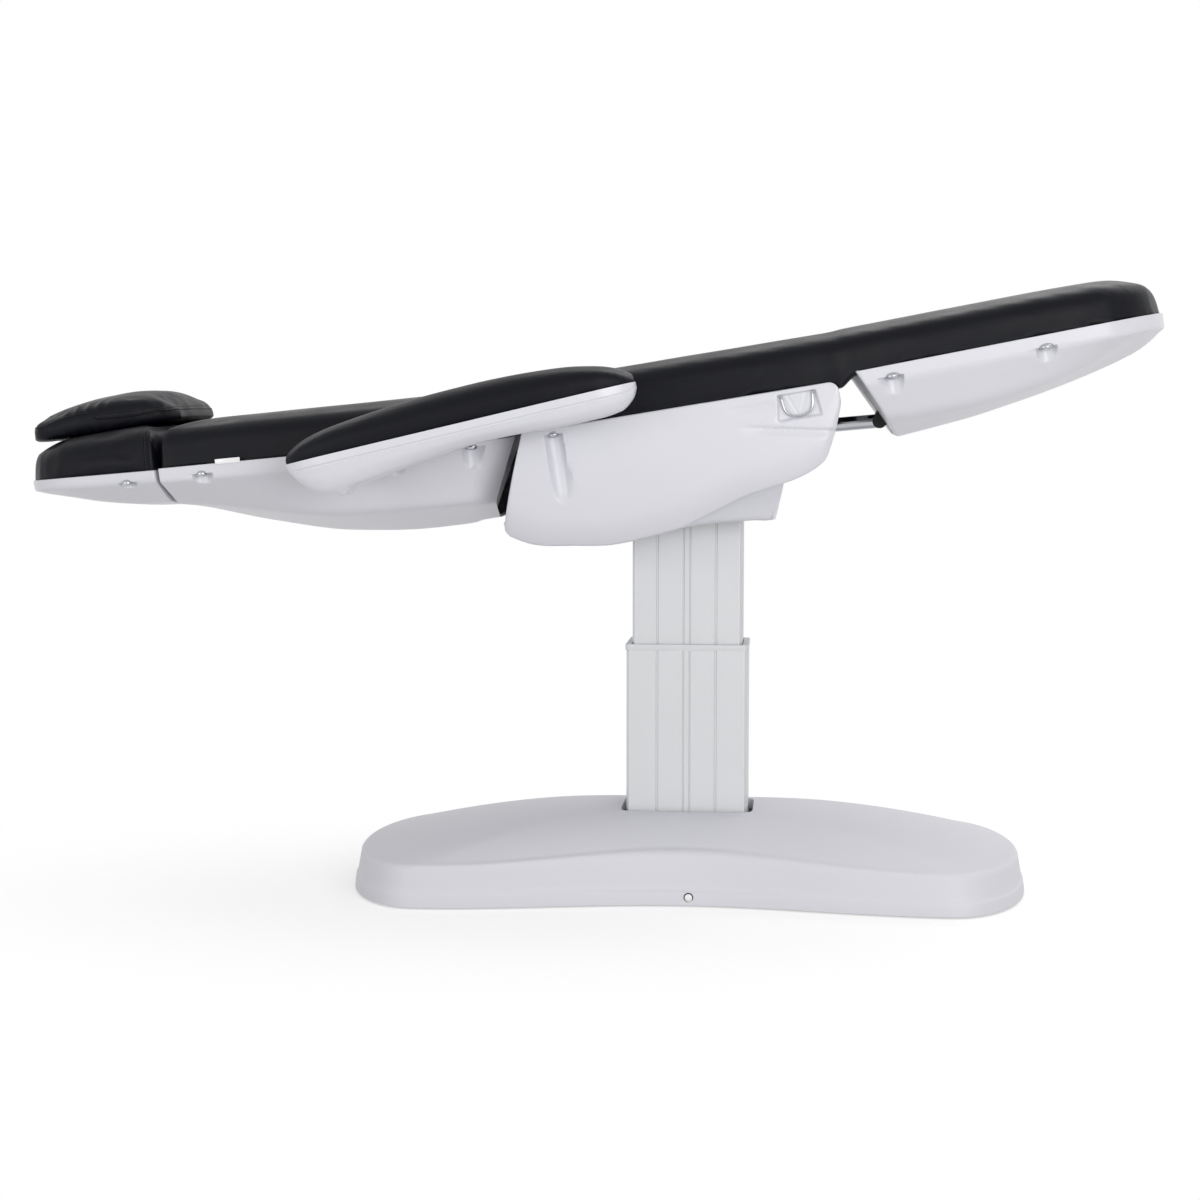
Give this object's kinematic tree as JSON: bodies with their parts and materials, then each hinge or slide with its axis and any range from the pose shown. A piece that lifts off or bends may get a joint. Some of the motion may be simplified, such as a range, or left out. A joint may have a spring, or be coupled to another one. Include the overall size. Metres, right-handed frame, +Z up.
{
  "type": "electric spa treatment table",
  "caption": "Height-adjustable padded treatment table on a lifting column, with tilting seat, folding back and leg rest, headrest, armrests and a head pillow.",
  "frame": {"origin": "centre of the table's length and width, on the floor", "axes": "+X along the table from the head end to the leg end, +Y across it, away from the side in the picture, +Z up"},
  "size_m": [1.8297, 0.8572, 0.9906],
  "materials": {
    "white_plastic": "satin",
    "grey_plastic": "matte",
    "bright_white_plastic": "satin",
    "black_upholstery": "satin",
    "grey_column_paint": "satin",
    "black_frame_paint": "satin",
    "dark_housing": "satin",
    "chrome": "polished",
    "black_rubber": "matte"
  },
  "bodies": {
    "base": {"base_frame": "black_frame_paint", "base_cover": "grey_plastic", "base_cap": "bright_white_plastic", "control_box": "dark_housing", "levelling_foot_1": "black_rubber", "levelling_foot_2": "black_rubber", "levelling_foot_3": "black_rubber", "levelling_foot_4": "black_rubber", "outer_column": "grey_column_paint", "lift_actuator_body": "dark_housing"},
    "carriage": {"inner_column": "grey_column_paint", "lift_actuator_rod": "chrome", "column_head": "black_frame_paint"},
    "seat": {"seat_frame": "black_frame_paint", "seat_shell": "white_plastic", "seat_cushion": "black_upholstery", "seat_screw_right_1": "chrome", "seat_screw_left_1": "chrome"},
    "ring_right": {"d_ring_right": "chrome"},
    "ring_left": {"d_ring_left": "chrome"},
    "back": {"back_frame": "black_frame_paint", "back_shell": "white_plastic", "back_cushion": "black_upholstery", "shell_tab": "bright_white_plastic", "back_screw_right_1": "chrome", "back_screw_right_2": "chrome", "back_screw_right_3": "chrome", "back_screw_left_1": "chrome", "back_screw_left_2": "chrome", "back_screw_left_3": "chrome"},
    "headrest": {"headrest_frame": "black_frame_paint", "headrest_shell": "white_plastic", "headrest_cushion": "black_upholstery", "headrest_screw_right_1": "chrome", "headrest_screw_left_1": "chrome"},
    "pillow": {"head_pillow": "black_upholstery"},
    "leg_rest": {"leg_frame": "black_frame_paint", "leg_shell": "white_plastic", "leg_cushion": "black_upholstery", "leg_screw_right_1": "chrome", "leg_screw_right_2": "chrome", "leg_screw_left_1": "chrome", "leg_screw_left_2": "chrome"},
    "armrest_right": {"armrest_shell_right": "white_plastic", "armrest_pad_right": "black_upholstery"},
    "armrest_left": {"armrest_shell_left": "white_plastic", "armrest_pad_left": "black_upholstery"},
    "leg_actuator": {"leg_actuator_body": "dark_housing"},
    "leg_rod": {"leg_actuator_rod": "chrome"},
    "back_actuator": {"back_actuator_body": "dark_housing"},
    "back_rod": {"back_actuator_rod": "chrome"},
    "tilt_actuator": {"tilt_actuator_body": "dark_housing"},
    "tilt_rod": {"tilt_actuator_rod": "chrome"}
  },
  "joints": [
    {"name": "column_lift", "type": "slide", "parent": "base", "child": "carriage", "axis": [0, 0, 1], "range_m": [-0.225, 0.07]},
    {"name": "seat_tilt", "type": "hinge", "parent": "carriage", "child": "seat", "pos_m": [0.16075, 0, 0.655], "axis": [0, -1, 0], "range_deg": [-9.35, 5]},
    {"name": "back_fold", "type": "hinge", "parent": "seat", "child": "back", "pos_m": [-0.07457, 0, 0.79158], "axis": [0, 1, 0], "range_deg": [-3.9, 70]},
    {"name": "leg_fold", "type": "hinge", "parent": "seat", "child": "leg_rest", "pos_m": [0.41682, 0, 0.87249], "axis": [0, -1, 0], "range_deg": [-70, 0]},
    {"name": "headrest_fold", "type": "hinge", "parent": "back", "child": "headrest", "pos_m": [-0.66184, 0, 0.64012], "axis": [0, 1, 0], "range_deg": [-40, 0]},
    {"name": "pillow_slide", "type": "slide", "parent": "headrest", "child": "pillow", "axis": [0.9874, 0, 0.1582], "range_m": [-0.02, 0.02]},
    {"name": "armrest_right_level", "type": "hinge", "parent": "back", "child": "armrest_right", "pos_m": [-0.34957, -0.376, 0.69854], "axis": [0, 1, 0], "range_deg": [-70, 3.9]},
    {"name": "armrest_left_level", "type": "hinge", "parent": "back", "child": "armrest_left", "pos_m": [-0.34957, 0.376, 0.69854], "axis": [0, 1, 0], "range_deg": [-70, 3.9]},
    {"name": "leg_actuator_swing", "type": "hinge", "parent": "seat", "child": "leg_actuator", "pos_m": [0.06046, 0, 0.73477], "axis": [0, -1, 0], "range_deg": [-0.2, 5.2]},
    {"name": "leg_rod_slide", "type": "slide", "parent": "leg_actuator", "child": "leg_rod", "axis": [0.9961, 0, 0.0884], "range_m": [-0.1295, 0]},
    {"name": "back_actuator_swing", "type": "hinge", "parent": "seat", "child": "back_actuator", "pos_m": [0.27231, -0.08, 0.70377], "axis": [0, 1, 0], "range_deg": [-0.7, 9.5]},
    {"name": "back_rod_slide", "type": "slide", "parent": "back_actuator", "child": "back_rod", "axis": [-0.9979, 0, -0.0647], "range_m": [-0.0065, 0.1095]},
    {"name": "tilt_actuator_swing", "type": "hinge", "parent": "seat", "child": "tilt_actuator", "pos_m": [0.00038, 0.08, 0.69954], "axis": [0, -1, 0], "range_deg": [-2.1, 3.8]},
    {"name": "tilt_rod_slide", "type": "slide", "parent": "tilt_actuator", "child": "tilt_rod", "axis": [0.9969, 0, 0.0783], "range_m": [-0.0105, 0.0055]},
    {"name": "ring_right_swing", "type": "hinge", "parent": "seat", "child": "ring_right", "pos_m": [0.3387, -0.3085, 0.81453], "axis": [-0.9867, 0, -0.1625], "range_deg": [0, 90]},
    {"name": "ring_left_swing", "type": "hinge", "parent": "seat", "child": "ring_left", "pos_m": [0.3387, 0.3085, 0.81453], "axis": [0.9867, 0, 0.1625], "range_deg": [0, 90]}
  ],
  "couplings": [
    {"joint": "armrest_right_level", "follows": "back_fold", "ratio": -1},
    {"joint": "armrest_left_level", "follows": "back_fold", "ratio": -1},
    {"joint": "leg_actuator_swing", "follows": "leg_fold", "ratio": -0.0725},
    {"joint": "leg_rod_slide", "follows": "leg_fold", "m_per_rad": 0.10578},
    {"joint": "back_actuator_swing", "follows": "back_fold", "ratio": 0.1334},
    {"joint": "back_rod_slide", "follows": "back_fold", "m_per_rad": 0.08919},
    {"joint": "tilt_actuator_swing", "follows": "seat_tilt", "ratio": -0.3987},
    {"joint": "tilt_rod_slide", "follows": "seat_tilt", "m_per_rad": 0.06027}
  ]
}
